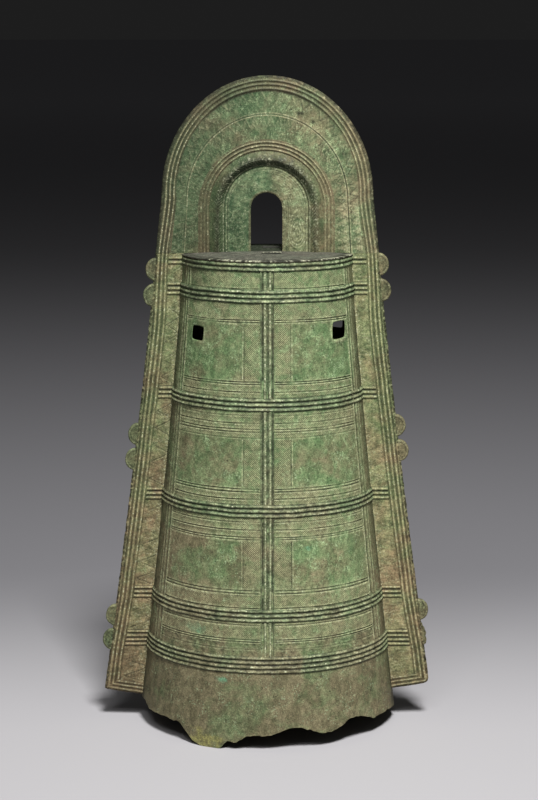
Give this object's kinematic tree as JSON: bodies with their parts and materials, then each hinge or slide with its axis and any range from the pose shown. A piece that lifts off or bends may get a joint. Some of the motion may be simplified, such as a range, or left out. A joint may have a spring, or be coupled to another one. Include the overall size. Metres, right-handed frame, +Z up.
{
  "type": "dotaku bell",
  "caption": "Ancient cast-bronze ritual bell with a flaring oval body, side fins with ear lobes, ridge bands and an arched loop.",
  "frame": {"origin": "on the floor, under the middle of the bell", "axes": "+Z up through the loop, +X towards the right fin seen from the front, -Y towards the front face"},
  "size_m": [0.5023, 0.2909, 0.978],
  "materials": {
    "patina": "matt green copper patina with tan and dark patches",
    "pale_ridge": "matt green patina, paler on the crests",
    "brown_bronze": "matt tan-brown aged bronze",
    "dark_bronze": "matt grey-brown aged bronze"
  },
  "bodies": {
    "root": {"crown_plate": "dark_bronze", "ear_left_bottom_lower": "patina", "ear_left_bottom_upper": "patina", "ear_left_middle_lower": "patina", "ear_left_middle_upper": "patina", "ear_left_top_lower": "patina", "ear_left_top_upper": "patina", "ear_right_bottom_lower": "patina", "ear_right_bottom_upper": "patina", "ear_right_middle_lower": "patina", "ear_right_middle_upper": "patina", "ear_right_top_lower": "patina", "ear_right_top_upper": "patina", "fin_left": "brown_bronze", "fin_right": "brown_bronze", "foot_band_back": "pale_ridge", "foot_band_front": "pale_ridge", "inner_rib": "dark_bronze", "loop_inner_flange": "patina", "loop_outer_flange": "patina", "loop_ring": "brown_bronze", "lower_band_back": "pale_ridge", "lower_band_front": "pale_ridge", "middle_band_back": "pale_ridge", "middle_band_front": "pale_ridge", "rim_band_back": "pale_ridge", "rim_band_front": "pale_ridge", "shoulder_band_back": "pale_ridge", "shoulder_band_front": "pale_ridge", "upper_band_back": "pale_ridge", "upper_band_front": "pale_ridge", "upright_band_back_foot": "pale_ridge", "upright_band_back_lower": "pale_ridge", "upright_band_back_middle": "pale_ridge", "upright_band_back_shoulder": "pale_ridge", "upright_band_back_upper": "pale_ridge", "upright_band_front_foot": "pale_ridge", "upright_band_front_lower": "pale_ridge", "upright_band_front_middle": "pale_ridge", "upright_band_front_shoulder": "pale_ridge", "upright_band_front_upper": "pale_ridge", "wall_back": "patina", "wall_front": "patina"}
  },
  "joints": []
}
